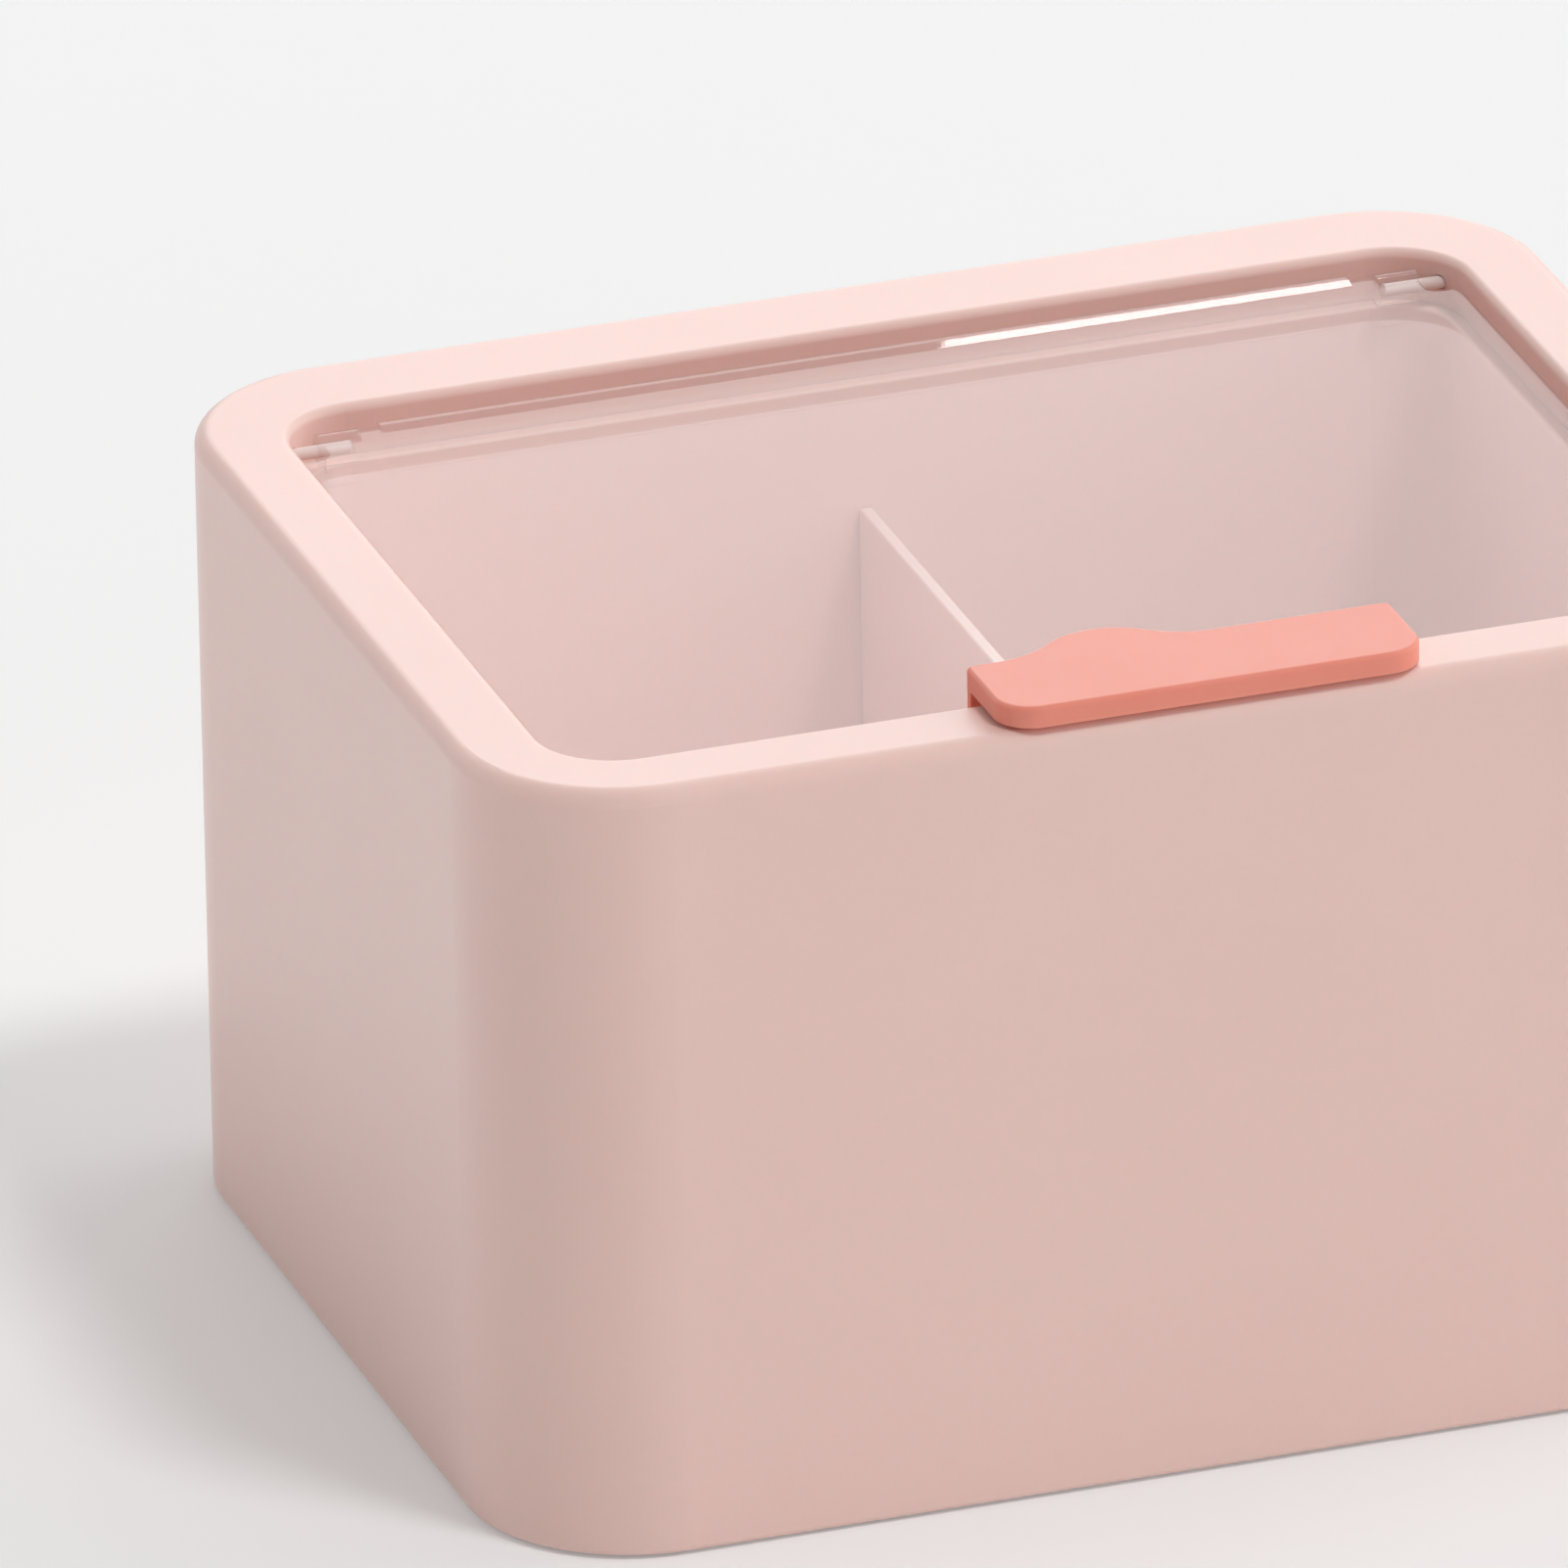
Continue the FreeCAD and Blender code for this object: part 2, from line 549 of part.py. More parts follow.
def make_lid_panel():
    body = new_body("lid_panel")
    size_y = f"({OPENING_Y} - sizes.lid_gap - sizes.lid_back_gap)"
    place_y = f"{OPENING_MIDDLE} + (sizes.lid_gap - sizes.lid_back_gap) / 2"
    outline = rounded_rectangle(body, "outline", f"{OPENING_X} - 2 * sizes.lid_gap", size_y,
                                "sizes.opening_radius - sizes.lid_gap", ("0", place_y, LID_UNDERSIDE))
    pad(body, outline, "sizes.lid_thickness", "panel")

    # The back corners are notched, so that the lid clears the opening's round corners as it swings up.
    notch_x = f"({OPENING_X} / 2 - sizes.lid_gap - sizes.lid_notch_width)"
    notch_y = f"({HINGE_Y} - sizes.lid_notch_reach)"
    size = "2 * sizes.lid_notch_width"
    for side, sign in SIDES:
        place = (f"{sign} * ({notch_x} + sizes.lid_notch_width)", f"{notch_y} + {size}", LID_UNDERSIDE)
        notch = rectangle(body, f"notch_outline_{side}", size, f"2 * {size}", place)
        pocket(body, notch, "sizes.lid_thickness", f"notch_{side}", up=True)
    inner = [(sign * value(notch_x), value(notch_y)) for _, sign in SIDES]
    fillet(body, upright_edges(body, inner), "sizes.lid_notch_round", "notch_corners")
    fillet(body, rim_edges(body, LID_TOP), "sizes.lid_edge_round", "top_edge")
    fillet(body, rim_edges(body, LID_UNDERSIDE), "sizes.lid_lower_round", "lower_edge")

    # A low rib with a gentle front slope stiffens the back edge, between the knuckles.
    back = f"({OPENING_BACK} - sizes.lid_back_gap)"
    rib_top = f"({LID_TOP} + sizes.lid_rib_height)"
    rib = rectangle(body, "rib_outline", f"2 * ({KNUCKLE_START} - sizes.lid_rib_gap)", "sizes.lid_rib_width",
                    ("0", f"{back} - sizes.lid_rib_width / 2", f"{LID_TOP} - sizes.lid_edge_round"))
    pad(body, rib, "sizes.lid_edge_round + sizes.lid_rib_height", "rib")
    chamfer(body, cross_edges(body, f"{back} - sizes.lid_rib_width", rib_top),
            "sizes.lid_rib_height - sizes.lid_rib_step", "rib_slope", "sizes.lid_rib_slope")
    fillet(body, rim_edges(body, rib_top), "sizes.lid_rib_round", "rib_edge")

    # A knuckle in each back corner, bored from its outer side for the pin.
    for side, sign in SIDES:
        start = (HINGE_Y, HINGE_Z, f"{sign} * {KNUCKLE_START}")
        knuckle = circle(body, f"knuckle_circle_{side}", "sizes.knuckle_radius", start, "YZ_Plane")
        pad(body, knuckle, "sizes.knuckle_length", f"knuckle_{side}", down=sign < 0)
    for side, sign in SIDES:
        outside = (HINGE_Y, HINGE_Z, f"{sign} * {OPENING_X} / 2")
        bore = circle(body, f"bore_circle_{side}", "sizes.pin_radius + sizes.pin_gap", outside, "YZ_Plane")
        pocket(body, bore, "sizes.knuckle_inset - sizes.knuckle_end_wall", f"bore_{side}", up=sign < 0)

    # Holes and sinks for the two screws that hold the tab.
    for side, sign in SIDES:
        place = (f"sizes.tab_shift + {sign} * sizes.tab_boss_place", TAB_BOSS_Y, LID_UNDERSIDE)
        hole = circle(body, f"tab_hole_circle_{side}", "sizes.tab_screw_radius + sizes.hole_gap", place)
        pocket(body, hole, "sizes.lid_thickness", f"tab_hole_{side}", up=True)
        sink = circle(body, f"tab_sink_circle_{side}", "sizes.tab_screw_head_radius + sizes.hole_gap", place)
        pocket(body, sink, "sizes.tab_screw_head_height", f"tab_sink_{side}", up=True)
    return body


def make_pull_tab():
    body = new_body("pull_tab")
    middle_y = f"({TAB_FRONT} + sizes.tab_depth / 2)"
    outline = rectangle(body, "outline", "sizes.tab_width", "sizes.tab_depth",
                        ("sizes.tab_shift", middle_y, TAB_UNDERSIDE))
    pad(body, outline, "sizes.tab_plate", "plate")
    leg = rectangle(body, "leg_outline", "sizes.tab_width", "sizes.tab_leg",
                    ("sizes.tab_shift", f"{TAB_BACK} - sizes.tab_leg / 2", TAB_UNDERSIDE))
    pad(body, leg, f"{TAB_UNDERSIDE} - {LID_TOP}", "leg", down=True)

    left = value("sizes.tab_shift - sizes.tab_width / 2")
    right = value("sizes.tab_shift + sizes.tab_width / 2")
    front = value(TAB_FRONT)
    back = value(TAB_BACK)
    front_corners = upright_edges(body, [(left, front), (right, front)])
    fillet(body, front_corners, "sizes.tab_front_radius", "front_corners")
    back_corners = upright_edges(body, [(left, back), (right, back)])
    fillet(body, back_corners, "sizes.tab_back_radius", "back_corners")

    # The rear edge swells in one soft lobe, left of its middle.
    lobe = circle(body, "lobe_circle", "sizes.lobe_radius", (LOBE_X, LOBE_Y, TAB_UNDERSIDE))
    pad(body, lobe, "sizes.tab_plate", "lobe")
    half = value(f"sqrt(sizes.lobe_radius ^ 2 - ({TAB_BACK} - {LOBE_Y}) ^ 2)")
    meets = [(value(LOBE_X) - half, back), (value(LOBE_X) + half, back)]
    fillet(body, upright_edges(body, meets), "sizes.lobe_blend", "lobe_blend")

    # A foot behind the leg lies on the lid and carries two bosses for the screws.
    foot = rectangle(body, "foot_outline", "sizes.tab_width - 2 * sizes.tab_foot_margin",
                     "sizes.tab_foot_depth", ("sizes.tab_shift", TAB_BOSS_Y, LID_TOP))
    pad(body, foot, "sizes.tab_foot_height", "foot")
    for side, sign in SIDES:
        place = (f"sizes.tab_shift + {sign} * sizes.tab_boss_place", TAB_BOSS_Y, LID_TOP)
        boss = circle(body, f"boss_circle_{side}", "sizes.tab_boss_radius", place)
        pad(body, boss, TAB_BOSS_HEIGHT, f"boss_{side}")
        pilot = circle(body, f"pilot_circle_{side}", "sizes.tab_screw_radius + sizes.screw_gap", place)
        pocket(body, pilot, f"{TAB_BOSS_HEIGHT} - sizes.tab_boss_cap", f"pilot_{side}", up=True)

    top = f"{TAB_UNDERSIDE} + sizes.tab_plate"
    fillet(body, rim_edges(body, top), "sizes.tab_edge_round", "top_edge")
    return body


def make_foot(name, sign_x, sign_y):
    body = new_body(name)
    place = (f"{sign_x} * {FOOT_X}", f"{sign_y} * {FOOT_Y}", "0")
    outline = circle(body, "outline", "sizes.foot_radius", place)
    pad(body, outline, f"{PLATE_UNDERSIDE} + sizes.foot_seat", "disc")
    fillet(body, rim_edges(body, "0"), "sizes.foot_round", "lower_edge")
    return body


def make_bumper(side, sign):
    body = new_body(f"lid_bumper_{side}")
    place_x = f"{sign} * ({OPENING_X} / 2 - sizes.bumper_inset)"
    place = (place_x, f"{OPENING_FRONT} + sizes.ledge_width / 2", TRAY_TOP)
    width = "sizes.ledge_width - sizes.tray_edge_round - sizes.bumper_margin"
    outline = rectangle(body, "outline", "sizes.bumper_length", width, place)
    pad(body, outline, "sizes.bumper_height", "strip")
    return body


def make_hinge_pin(side, sign):
    body = new_body(f"hinge_pin_{side}")
    start = (HINGE_Y, HINGE_Z, f"{sign} * {PIN_START}")
    outline = circle(body, "outline", "sizes.pin_radius", start, "YZ_Plane")
    pad(body, outline, f"{BOSS_END} - {PIN_START}", "pin", down=sign < 0)
    return body


def make_hinge_bush(side, sign):
    body = new_body(f"hinge_bush_{side}")
    end = (HINGE_Y, HINGE_Z, f"{sign} * {BOSS_END}")
    outline = circle(body, "outline", "sizes.bush_radius", end, "YZ_Plane")
    pad(body, outline, "sizes.bush_length", "bush", down=sign > 0)
    bore = circle(body, "bore_circle", "sizes.pin_radius + sizes.bush_gap", end, "YZ_Plane")
    pocket(body, bore, "sizes.bush_length", "bore", up=sign < 0)
    return body


# Screws, each group of equal ones in one node


def place_item(item, place):
    for direction, expression in zip("xyz", place):
        item.setExpression(f"Placement.Base.{direction}", expression)


def cylinder(name, radius, length, place):
    item = doc.addObject("Part::Cylinder", name)
    item.setExpression("Radius", radius)
    item.setExpression("Height", length)
    place_item(item, place)
    return item


def bar(name, size_x, size_y, size_z, place):
    """Make a block whose lower face is centred on the place."""
    item = doc.addObject("Part::Box", name)
    for side, expression in zip(("Length", "Width", "Height"), (size_x, size_y, size_z)):
        item.setExpression(side, expression)
    x, y, z = place
    place_item(item, (f"{x} - ({size_x}) / 2", f"{y} - ({size_y}) / 2", z))
    return item


def join(kind, name, base, tool):
    item = doc.addObject(kind, name)
    item.Base = base
    item.Tool = tool
    return item


def make_screw(name, shank, head, slot_width, place):
    """Make an upright screw with its head at the bottom and a cross cut into the head."""
    x, y, z = place
    shank_radius, shank_length = shank
    head_radius, head_height = head
    top = (x, y, f"{z} + {head_height}")
    shank_item = cylinder(f"{name}_shank", shank_radius, shank_length, top)
    head_item = cylinder(f"{name}_head", head_radius, head_height, place)
    blank = join("Part::Fuse", f"{name}_blank", head_item, shank_item)
    length = f"2 * {head_radius} * sizes.screw_slot_share"
    depth = f"{head_height} * sizes.screw_slot_share"
    slot_x = bar(f"{name}_slot_x", length, slot_width, depth, place)
    slot_y = bar(f"{name}_slot_y", slot_width, length, depth, place)
    cross = join("Part::Fuse", f"{name}_cross", slot_x, slot_y)
    return join("Part::Cut", f"{name}_screw", blank, cross)


def gather(label, items):
    group = doc.addObject("Part::Compound", label)
    group.Label = label
    group.Links = items
    return group


def make_base_screws():
    shank = ("sizes.screw_radius", "sizes.screw_length")
    head = ("sizes.screw_head_radius", "sizes.screw_head_height")
    screws = []
    for index, (sign_x, sign_y) in enumerate(FOUR_CORNERS):
        place = (f"{sign_x} * {POST_X}", f"{sign_y} * {POST_Y}", PLATE_UNDERSIDE)
        screws.append(make_screw(f"base_{index}", shank, head, "sizes.screw_slot_width", place))
    return gather("base_screws", screws)


def make_tab_screws():
    tip = f"{LID_TOP} + {TAB_BOSS_HEIGHT} - sizes.tab_boss_cap - sizes.tab_screw_tip_gap"
    shank = ("sizes.tab_screw_radius", f"{tip} - ({LID_UNDERSIDE} + sizes.tab_screw_head_height)")
    head = ("sizes.tab_screw_head_radius", "sizes.tab_screw_head_height")
    screws = []
    for side, sign in SIDES:
        place = (f"sizes.tab_shift + {sign} * sizes.tab_boss_place", TAB_BOSS_Y, LID_UNDERSIDE)
        screws.append(make_screw(f"tab_{side}", shank, head, "sizes.tab_screw_slot_width", place))
    return gather("tab_screws", screws)


pieces = [
    make_outer_shell(),
    make_base_plate(),
    make_base_screws(),
    make_inner_tray(),
    make_divider(),
    make_lid_panel(),
    make_pull_tab(),
    make_tab_screws(),
]
for side, sign in SIDES:
    pieces.append(make_hinge_pin(side, sign))
    pieces.append(make_hinge_bush(side, sign))
    pieces.append(make_bumper(side, sign))
    for end, sign_y in ENDS:
        pieces.append(make_foot(f"foot_{end}_{side}", sign, sign_y))
doc.recompute()

for item in doc.Objects:
    if {"Invalid", "Error"} & set(item.State):
        raise RuntimeError(f"{item.Label} did not compute: {item.State}")
for piece in pieces:
    if piece.Shape.isNull() or not piece.Shape.isValid():
        raise RuntimeError(f"{piece.Label} has no valid shape")

os.makedirs("parts", exist_ok=True)
for piece in pieces:
    piece.Shape.exportStep(f"parts/{piece.Label}.step")
    print(piece.Label, len(piece.Shape.Solids), piece.Shape.BoundBox)
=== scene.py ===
import math

import bmesh
import bpy
from mathutils import Matrix, Vector

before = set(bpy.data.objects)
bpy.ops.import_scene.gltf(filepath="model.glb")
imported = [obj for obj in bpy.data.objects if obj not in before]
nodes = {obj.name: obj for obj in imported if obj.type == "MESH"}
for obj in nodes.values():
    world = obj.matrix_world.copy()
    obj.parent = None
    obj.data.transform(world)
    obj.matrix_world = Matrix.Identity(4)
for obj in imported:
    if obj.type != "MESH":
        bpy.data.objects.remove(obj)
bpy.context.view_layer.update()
print("frame loaded:", len(nodes), "CAD nodes")


# camera, at the photograph's viewing angle
cameraView = {
    "aim": (-0.02527, 0.00370, 0.06020),
    "distance": 4.1301,
    "yaw": 18.385,     # degrees to the left of straight ahead
    "pitch": 23.96,    # degrees above the level
    "roll": -1.09,
    "lens": 843.97,    # millimetres, on a sensor this wide
    "sensor": 36,
    "sight": 60,       # metres, as far as it sees
}


def placeCamera(view):
    yaw, pitch, roll = (math.radians(view[key]) for key in ("yaw", "pitch", "roll"))
    back = Vector((-math.sin(yaw) * math.cos(pitch), -math.cos(yaw) * math.cos(pitch), math.sin(pitch)))
    right = Vector((math.cos(yaw), -math.sin(yaw), 0))
    up = back.cross(right)
    tiltedRight = right * math.cos(roll) + up * math.sin(roll)
    tiltedUp = up * math.cos(roll) - right * math.sin(roll)
    turn = Matrix((tiltedRight, tiltedUp, back)).transposed().to_4x4()
    data = bpy.data.cameras.new("camera")
    data.lens = view["lens"]
    data.sensor_width = view["sensor"]
    data.clip_end = view["sight"]
    camera = bpy.data.objects.new("camera", data)
    camera.matrix_world = Matrix.Translation(Vector(view["aim"]) + back * view["distance"]) @ turn
    bpy.context.scene.collection.objects.link(camera)
    bpy.context.scene.camera = camera


placeCamera(cameraView)
print("camera placed")


# shader maths: a value wraps a socket, so that an expression adds its Math nodes
class ShaderValue:
    def __init__(self, finish, socket):
        self.finish = finish
        self.socket = socket

    def maths(self, operation, first, second):
        node = self.finish.add("ShaderNodeMath", {"operation": operation}, {0: first, 1: second})
        return ShaderValue(self.finish, node.outputs[0])

    def __add__(self, other):
        return self.maths("ADD", self, other)

    def __radd__(self, other):
        return self.maths("ADD", other, self)

    def __mul__(self, other):
        return self.maths("MULTIPLY", self, other)

    def __rmul__(self, other):
        return self.maths("MULTIPLY", other, self)

    def limited(self):
        return self.maths("MINIMUM", self.maths("MAXIMUM", self, 0.0), 1.0)


# one material or world, and the few node recipes that the finishes share
class Finish:
    def __init__(self, owner):
        self.owner = owner
        owner.use_nodes = True
        self.tree = owner.node_tree
        self.tree.nodes.clear()

    def add(self, kind, settings=None, inputs=None):
        node = self.tree.nodes.new(kind)
        for name, setting in (settings or {}).items():
            setattr(node, name, setting)
        for name, given in (inputs or {}).items():
            if isinstance(given, ShaderValue):
                self.tree.links.new(given.socket, node.inputs[name])
            elif isinstance(given, bpy.types.NodeSocket):
                self.tree.links.new(given, node.inputs[name])
            else:
                node.inputs[name].default_value = given
        return node

    def value(self, socket):
        return ShaderValue(self, socket)

    # noise from 0 to 1 whose features are about this many metres across
    def grain(self, size, detail=2.0, shift=(0, 0, 0)):
        place = self.add("ShaderNodeTexCoord").outputs["Object"]
        moved = self.add("ShaderNodeMapping", {}, {"Vector": place, "Location": shift}).outputs[0]
        noise = self.add("ShaderNodeTexNoise", {}, {"Vector": moved, "Scale": 1 / size, "Detail": detail})
        return self.value(noise.outputs["Fac"])

    # a tone and another close to it, mixed by this share; a colour mix has its colours in sockets 6 and 7
    def twoTones(self, share, recipe):
        mix = self.add("ShaderNodeMix", {"data_type": "RGBA"}, {
            "Factor": share, 6: screenTone(recipe["tone"]), 7: screenTone(recipe["otherTone"])})
        return mix.outputs[2]

    # lead this shader to the output, and give back the finished material or world
    def ends(self, kind, shader):
        self.add(kind, {}, {"Surface": shader.outputs[0]})
        return self.owner


def newMaterial(name):
    return Finish(bpy.data.materials.new(name))


# turn a colour as seen on screen, from 0 to 255, into the shader's own scale, by the screen's curve
def screenTone(colour):
    return (*(((part / 255 + 0.055) / 1.055) ** 2.4 for part in colour), 1)


cloudDetail = 3.0
textureShift = (0.3, 0.1, 0.7)    # so that the texture doesn't follow the clouds


# moulded plastic: two close tones in soft clouds, uneven gloss, and a fine even texture
def mouldedPlastic(name, recipe):
    finish = newMaterial(name)
    clouds = finish.grain(recipe["cloudSize"], cloudDetail)
    gloss = clouds * recipe["roughnessSpread"] + (recipe["roughness"] - recipe["roughnessSpread"] / 2)
    texture = finish.grain(recipe["textureSize"], shift=textureShift)
    bump = finish.add("ShaderNodeBump", {}, {
        "Strength": recipe["textureStrength"], "Distance": recipe["textureDepth"], "Height": texture})
    shader = finish.add("ShaderNodeBsdfPrincipled", {}, {
        "Base Color": finish.twoTones(clouds, recipe), "Roughness": gloss, "Normal": bump.outputs[0],
        "IOR": recipe["ior"], "Specular IOR Level": recipe["specular"],
        "Subsurface Weight": recipe["glow"], "Subsurface Radius": recipe["glowReach"], "Subsurface Scale": 1.0})
    return finish.ends("ShaderNodeOutputMaterial", shader)


# tones are as seen on screen, lengths are in metres, and glow is the share of light that travels under the surface
shellPlastic = {
    "tone": (245, 210, 201), "otherTone": (242, 206, 197), "cloudSize": 0.035,
    "roughness": 0.32, "roughnessSpread": 0.05,
    "textureSize": 0.0006, "textureStrength": 0.12, "textureDepth": 0.00004,
    "ior": 1.5, "specular": 0.75, "glow": 0.25, "glowReach": (0.0025, 0.0009, 0.0006),
}
# the tray's tone is paler than the shell's: painted light, which brightens the shaded inside seen through the lid
trayPlastic = {
    **shellPlastic, "tone": (251, 215, 205), "otherTone": (248, 211, 201), "cloudSize": 0.028,
    "textureStrength": 0.06,
}
# the divider's tone is paler than the shell's as well: painted light on the shaded inside
dividerPlastic = {**shellPlastic, "tone": (247, 219, 211), "otherTone": (245, 215, 207), "roughness": 0.31}
basePlastic = {
    **shellPlastic, "tone": (222, 186, 180), "otherTone": (217, 180, 174), "roughness": 0.5, "textureStrength": 0.3,
    "glow": 0.0,
}
tabPlastic = {
    "tone": (243, 150, 130), "otherTone": (240, 145, 125), "cloudSize": 0.012,
    "roughness": 0.34, "roughnessSpread": 0.06,
    "textureSize": 0.0004, "textureStrength": 0.1, "textureDepth": 0.00003,
    "ior": 1.5, "specular": 0.5, "glow": 0.3, "glowReach": (0.002, 0.0006, 0.0004),
}
footRubber = {
    "tone": (150, 140, 137), "otherTone": (138, 128, 126), "cloudSize": 0.004,
    "roughness": 0.75, "roughnessSpread": 0.12,
    "textureSize": 0.0003, "textureStrength": 0.4, "textureDepth": 0.00008,
    "ior": 1.5, "specular": 0.4, "glow": 0.0, "glowReach": (0.001, 0.001, 0.001),
}
bumperRubber = {**footRubber, "tone": (238, 210, 204), "otherTone": (234, 204, 198), "roughness": 0.6}
bushPlastic = {**footRubber, "tone": (232, 228, 222), "otherTone": (226, 221, 214), "roughness": 0.35}
pinNylon = {
    **bushPlastic, "tone": (240, 222, 216), "otherTone": (236, 216, 210), "roughness": 0.36, "textureStrength": 0.1,
}


# plain steel with fine scratches along one axis
def drawnSteel(name, recipe):
    finish = newMaterial(name)
    place = finish.add("ShaderNodeTexCoord").outputs["Object"]
    stretched = finish.add("ShaderNodeMapping", {}, {"Vector": place, "Scale": recipe["stretch"]}).outputs[0]
    noise = finish.add("ShaderNodeTexNoise", {}, {
        "Vector": stretched, "Scale": 1 / recipe["lineSize"], "Detail": recipe["lineDetail"]})
    lines = finish.value(noise.outputs["Fac"])
    bump = finish.add("ShaderNodeBump", {}, {
        "Strength": recipe["lineStrength"], "Distance": recipe["lineDepth"], "Height": lines})
    shader = finish.add("ShaderNodeBsdfPrincipled", {}, {
        "Base Color": finish.twoTones(lines, recipe), "Metallic": 1.0,
        "Roughness": lines * recipe["roughnessSpread"] + recipe["roughness"], "Normal": bump.outputs[0]})
    return finish.ends("ShaderNodeOutputMaterial", shader)


plainSteel = {
    "tone": (190, 190, 192), "otherTone": (170, 170, 173), "roughness": 0.2, "roughnessSpread": 0.2,
    "stretch": (1, 20, 20), "lineSize": 0.004, "lineDetail": 3.0, "lineStrength": 0.2, "lineDepth": 0.00002,
}


# clear moulded plastic with a milky share: the far side is seen through it straight, without bending,
# and lamps shine through it, so that the inside stays lit
def clearPlastic(name, recipe):
    finish = newMaterial(name)
    haze = finish.grain(recipe["hazeSize"])
    bump = finish.add("ShaderNodeBump", {}, {
        "Strength": recipe["waveStrength"], "Distance": recipe["waveDepth"], "Height": haze})
    clear = finish.add("ShaderNodeBsdfTransparent", {}, {"Color": screenTone(recipe["tone"])})
    gloss = finish.add("ShaderNodeBsdfGlossy", {}, {
        "Roughness": haze * recipe["hazeRoughness"] + recipe["roughness"], "Normal": bump.outputs[0]})
    slant = finish.value(finish.add("ShaderNodeLayerWeight", {}, {"Blend": 0.5}).outputs["Facing"])
    grazing = slant * slant * slant * slant * slant    # the gloss grows with the fifth power of the slant
    mirror = finish.add("ShaderNodeMixShader", {}, {
        0: grazing * (1 - recipe["mirrorShare"]) + recipe["mirrorShare"], 1: clear.outputs[0], 2: gloss.outputs[0]})
    milk = finish.add("ShaderNodeBsdfDiffuse", {}, {"Color": screenTone(recipe["milkTone"])})
    body = finish.add("ShaderNodeMixShader", {}, {
        0: haze * recipe["milkSpread"] + recipe["milkShare"], 1: mirror.outputs[0], 2: milk.outputs[0]})
    passing = finish.add("ShaderNodeBsdfTransparent", {}, {"Color": screenTone(recipe["lightTone"])})
    rays = finish.add("ShaderNodeLightPath")
    forLamps = finish.value(rays.outputs["Is Shadow Ray"]) + finish.value(rays.outputs["Is Diffuse Ray"])
    both = finish.add("ShaderNodeMixShader", {}, {
        0: forLamps.limited(), 1: body.outputs[0], 2: passing.outputs[0]})
    return finish.ends("ShaderNodeOutputMaterial", both)


lidPlastic = {
    "tone": (254, 252, 252), "lightTone": (254, 253, 253),
    "mirrorShare": 0.039, "roughness": 0.0, "hazeRoughness": 0.04,
    "hazeSize": 0.02, "waveStrength": 0.015, "waveDepth": 0.0002,
    "milkTone": (250, 240, 238), "milkShare": 0.04, "milkSpread": 0.01,
}

finishes = {
    "outer_shell": mouldedPlastic("shellPink", shellPlastic),
    "inner_tray": mouldedPlastic("trayPink", trayPlastic),
    "base_plate": mouldedPlastic("basePink", basePlastic),
    "divider": mouldedPlastic("dividerPink", dividerPlastic),
    "pull_tab": mouldedPlastic("tabCoral", tabPlastic),
    "lid_panel": clearPlastic("lidClear", lidPlastic),
    "steel": drawnSteel("plainSteel", plainSteel),
    "foot": mouldedPlastic("footRubber", footRubber),
    "bumper": mouldedPlastic("bumperSoft", bumperRubber),
    "bush": mouldedPlastic("bushPlastic", bushPlastic),
    "pin": mouldedPlastic("pinNylon", pinNylon),
}
print("finishes made:", len(finishes))


def finishFor(name):
    if "screws" in name:
        return finishes["steel"]
    for word in ("foot", "bumper", "bush", "pin"):
        if word in name:
            return finishes[word]
    return finishes[name]


for name, node in nodes.items():
    material = finishFor(name)
    for slot in node.material_slots:
        slot.material = material
print("finishes on the CAD nodes")


# floor and light
studio = {
    "floorTone": (250, 250, 250), "backdropTone": (244, 244, 244), "backdropShare": 0.22, "floorSize": 24.0,
    # soft bright patches of the surroundings, on an even level: where each is and how bright,
    # and the cosines between which they fade in
    "skyLevel": 0.16, "cardFade": (0.80, 0.96),
    "cards": [
        {"towards": (0.2, 0.45, 0.87), "level": 0.68},
        {"towards": (-0.8, 0.6, 0.35), "level": 1.45},
        {"towards": (1.0, 0.1, 0.35), "level": 2.8},
        {"towards": (0.7, -0.6, 0.75), "level": 0.38},
        {"towards": (0.1, -1.0, 0.15), "level": 1.0},
    ],
    "sun": {"travels": (-0.29, 0.39, -1.0), "level": 0.95, "spread": 11.0},
    # a wide soft lamp behind the box, whose sheen lies on the rim's flat top
    "softLamp": {"towards": (0.29, 0.87, 0.41), "distance": 2.0, "size": (1.2, 1.2), "power": 4.4},
    # a small lamp whose mirror image is the white line on the slope of the lid's rib
    "lineLamp": {"middle": (0.036, 0.0466, 0.0914), "slope": (0, -0.314, 0.95), "distance": 1.5,
                 "size": (0.064, 0.13), "power": 0.4},
}


# 1 for what the camera sees, straight or in a shiny or clear piece, and 0 for light that falls on a piece
def seenDirectly(finish):
    rays = finish.add("ShaderNodeLightPath")
    kinds = ("Is Camera Ray", "Is Glossy Ray", "Is Transmission Ray")
    camera, glossy, clear = (finish.value(rays.outputs[kind]) for kind in kinds)
    return (camera + glossy + clear).limited()


def buildFloor(recipe):
    mesh = bpy.data.meshes.new("floor")
    shape = bmesh.new()
    bmesh.ops.create_grid(shape, x_segments=1, y_segments=1, size=recipe["floorSize"] / 2)
    shape.to_mesh(mesh)
    shape.free()
    floor = bpy.data.objects.new("floor", mesh)
    bpy.context.scene.collection.objects.link(floor)
    finish = newMaterial("floorPale")
    paper = finish.add("ShaderNodeBsdfDiffuse", {}, {"Color": screenTone(recipe["floorTone"])})
    backdrop = finish.add("ShaderNodeEmission", {}, {"Color": screenTone(recipe["floorTone"])})
    both = finish.add("ShaderNodeMixShader", {}, {
        0: seenDirectly(finish) * recipe["backdropShare"], 1: paper.outputs[0], 2: backdrop.outputs[0]})
    mesh.materials.append(finish.ends("ShaderNodeOutputMaterial", both))


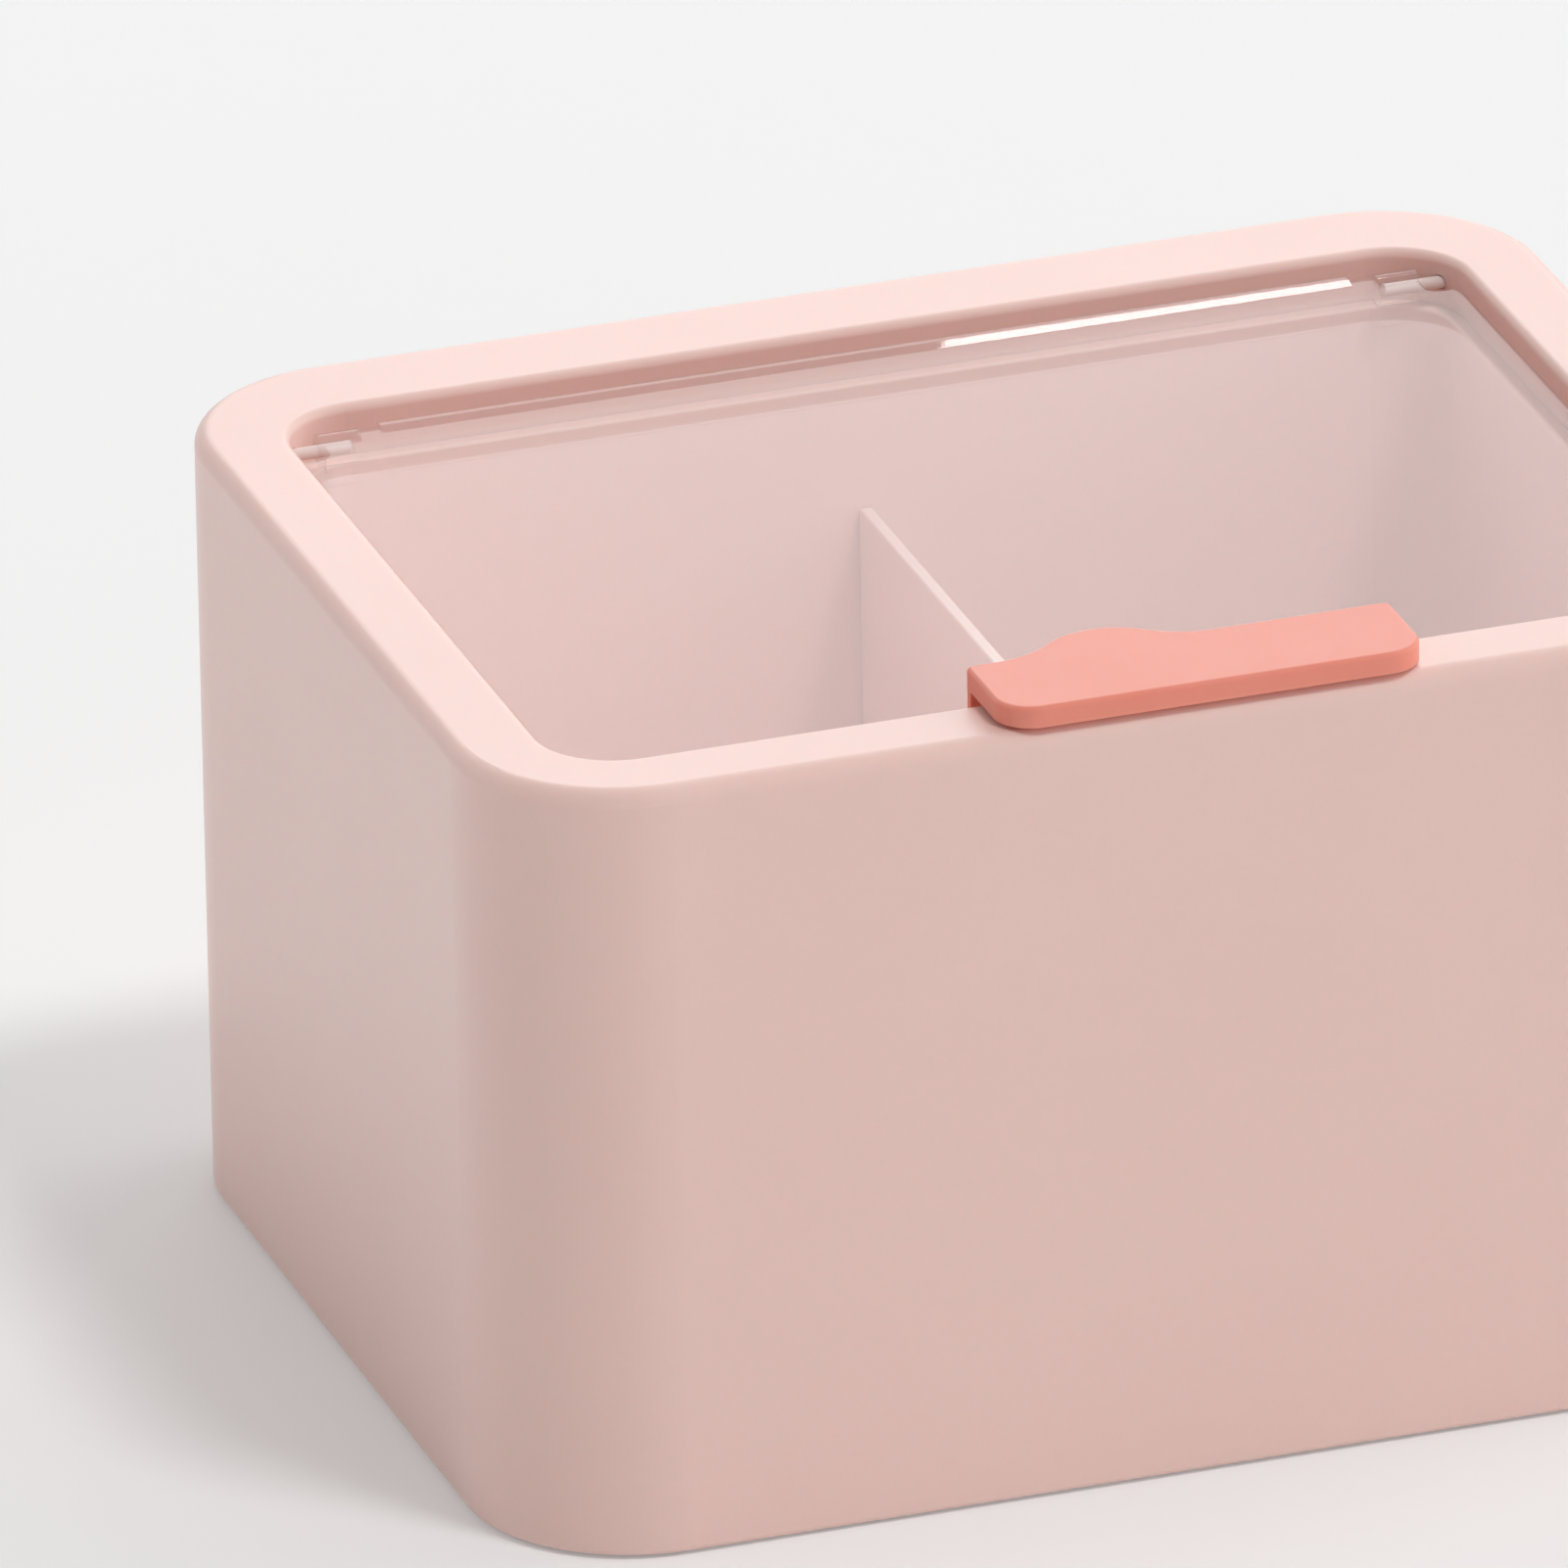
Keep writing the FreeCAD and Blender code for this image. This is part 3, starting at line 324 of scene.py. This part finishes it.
# the surroundings light the part, and the camera sees a plain tone in their place
def buildWorld(recipe):
    world = Finish(bpy.data.worlds.new("studio"))
    direction = world.add("ShaderNodeTexCoord").outputs["Generated"]
    level = recipe["skyLevel"]
    near, full = recipe["cardFade"]
    for card in recipe["cards"]:
        towards = Vector(card["towards"]).normalized()
        facing = world.add("ShaderNodeVectorMath", {"operation": "DOT_PRODUCT"}, {0: direction, 1: towards})
        patch = world.add("ShaderNodeMapRange", {"interpolation_type": "SMOOTHSTEP"}, {
            "Value": facing.outputs["Value"], "From Min": near, "From Max": full})
        level = world.value(patch.outputs[0]) * card["level"] + level
    light = world.add("ShaderNodeBackground", {}, {"Strength": level})
    plain = world.add("ShaderNodeBackground", {}, {"Color": screenTone(recipe["backdropTone"])})
    both = world.add("ShaderNodeMixShader", {}, {
        0: seenDirectly(world), 1: light.outputs[0], 2: plain.outputs[0]})
    bpy.context.scene.world = world.ends("ShaderNodeOutputWorld", both)


# the sun makes the soft shadow on the floor, and no glint
def buildSun(recipe):
    sun = bpy.data.objects.new("sun", bpy.data.lights.new("sun", "SUN"))
    sun.data.energy = recipe["level"]
    sun.data.angle = math.radians(recipe["spread"])
    sun.rotation_euler = Vector(recipe["travels"]).to_track_quat("-Z", "Y").to_euler()
    sun.visible_glossy = False
    bpy.context.scene.collection.objects.link(sun)


# a lamp that stands away from a place in this direction, and faces it
def buildLamp(name, recipe, place, towards):
    lamp = bpy.data.objects.new(name, bpy.data.lights.new(name, "AREA"))
    lamp.data.shape = "ELLIPSE"
    lamp.data.size, lamp.data.size_y = recipe["size"]
    lamp.data.energy = recipe["power"]
    lamp.location = place + towards * recipe["distance"]
    lamp.rotation_euler = towards.to_track_quat("Z", "Y").to_euler()
    bpy.context.scene.collection.objects.link(lamp)


def buildSoftLamp(recipe):
    buildLamp("softLamp", recipe, Vector(), Vector(recipe["towards"]).normalized())


# this lamp stands where the camera sees its image in the slope
def buildLineLamp(recipe):
    middle = Vector(recipe["middle"])
    slope = Vector(recipe["slope"]).normalized()
    seenFrom = (bpy.context.scene.camera.matrix_world.translation - middle).normalized()
    buildLamp("lineLamp", recipe, middle, 2 * slope.dot(seenFrom) * slope - seenFrom)


buildFloor(studio)
buildWorld(studio)
buildSun(studio["sun"])
buildSoftLamp(studio["softLamp"])
buildLineLamp(studio["lineLamp"])
bpy.context.scene.view_settings.view_transform = "Standard"
print("studio built")
